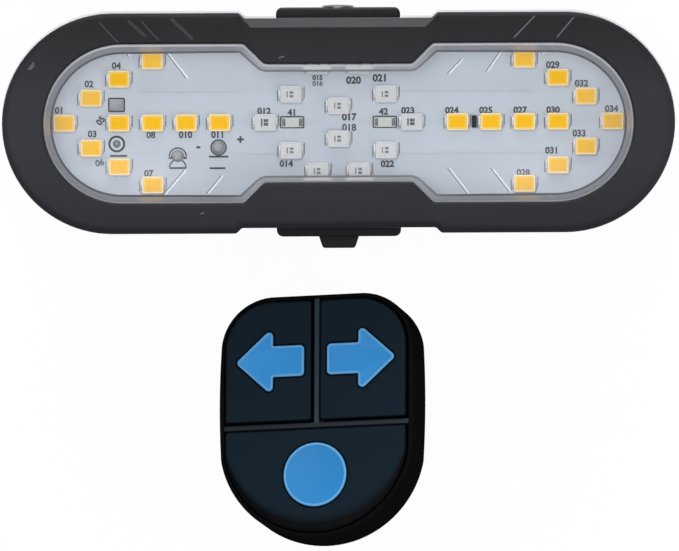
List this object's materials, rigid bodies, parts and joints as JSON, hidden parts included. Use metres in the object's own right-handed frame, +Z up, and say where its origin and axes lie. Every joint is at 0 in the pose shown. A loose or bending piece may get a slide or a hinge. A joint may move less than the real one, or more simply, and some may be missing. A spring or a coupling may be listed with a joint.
{
  "type": "bicycle turn signal light",
  "caption": "Bicycle turn signal lamp with a clear lens over amber arrow lights and a brake light ring, with its wireless remote of left, right and round mode keys.",
  "frame": {"origin": "on the table plane, in the middle of the pair's bounding box", "axes": "+X along the lamp toward its right arrow, +Y from the remote toward the lamp's power key, +Z up out of the lens"},
  "size_m": [0.1102, 0.0898, 0.0282],
  "materials": {
    "black_plastic": "fine moulded texture",
    "charcoal_plastic": "satin with fine speckle",
    "clear_plastic": "polished clear",
    "grey_rubber": "soft matt",
    "white_board": "white solder mask",
    "led_package": "moulded white package",
    "amber_fill": "amber resin",
    "clear_fill": "clear resin",
    "chip_black": "moulded",
    "solder": "tinned",
    "steel": "plated",
    "green_board": "solder mask",
    "black_rubber": "soft matt",
    "ivory_plastic": "moulded",
    "cell_foil": "laminated foil",
    "red_sleeve": "silicone sleeve",
    "black_sleeve": "silicone sleeve",
    "remote_plastic": "moulded",
    "key_plastic": "fine texture",
    "blue_inlay": "satin",
    "clip_brass": "plated"
  },
  "bodies": {
    "lamp": {"rear_housing": "black_plastic", "bezel": "charcoal_plastic", "lens": "clear_plastic", "lens_gasket": "grey_rubber", "circuit_board": "white_board", "left_signal_leds": "led_package", "right_signal_leds": "led_package", "left_phosphors": "amber_fill", "right_phosphors": "amber_fill", "brake_leds": "led_package", "brake_windows": "clear_fill", "indicator_leds": "led_package", "chip_resistor": "chip_black", "solder_joints": "solder", "control_chip": "chip_black", "receiver_module": "green_board", "usb_socket": "steel", "usb_tongue": "chip_black", "power_pad": "black_rubber", "power_switch": "chip_black", "battery_cell": "cell_foil", "battery_foam": "grey_rubber", "battery_lead_plus": "red_sleeve", "battery_lead_minus": "black_sleeve", "housing_screws": "steel", "seatpost_saddle": "black_rubber"},
    "port_cover": {"usb_cover": "black_rubber"},
    "power_button": {"power_key": "black_rubber", "power_plunger": "ivory_plastic"},
    "remote": {"remote_upper_shell": "remote_plastic", "remote_lower_shell": "remote_plastic", "key_mat": "grey_rubber", "remote_board": "green_board", "remote_switches": "steel", "remote_chip": "chip_black", "coin_cell": "steel", "cell_clip": "clip_brass", "remote_screws": "steel", "handlebar_base": "black_rubber"},
    "left_button": {"left_key": "key_plastic", "left_arrow": "blue_inlay", "left_plunger": "ivory_plastic"},
    "right_button": {"right_key": "key_plastic", "right_arrow": "blue_inlay", "right_plunger": "ivory_plastic"},
    "mode_button": {"mode_key": "key_plastic", "mode_disc": "blue_inlay", "mode_plunger": "ivory_plastic"}
  },
  "joints": [
    {"name": "power_press", "type": "slide", "parent": "lamp", "child": "power_button", "axis": [0, -1, 0], "range_m": [0, 0.00035], "stiffness_N_per_m": 1500},
    {"name": "cover_hinge", "type": "hinge", "parent": "lamp", "child": "port_cover", "pos_m": [0, 0.00905, 0.01287], "axis": [1, 0, 0], "range_deg": [0, 90]},
    {"name": "remote_lift", "type": "slide", "parent": "lamp", "child": "remote", "axis": [0, 0, 1], "range_m": [0, 0.06]},
    {"name": "left_press", "type": "slide", "parent": "remote", "child": "left_button", "axis": [0.247, -0.2565, -0.9344], "range_m": [0, 0.0004], "stiffness_N_per_m": 1500},
    {"name": "right_press", "type": "slide", "parent": "remote", "child": "right_button", "axis": [0.247, -0.2565, -0.9344], "range_m": [0, 0.0004], "stiffness_N_per_m": 1500},
    {"name": "mode_press", "type": "slide", "parent": "remote", "child": "mode_button", "axis": [0.247, -0.2565, -0.9344], "range_m": [0, 0.0004], "stiffness_N_per_m": 1500}
  ]
}
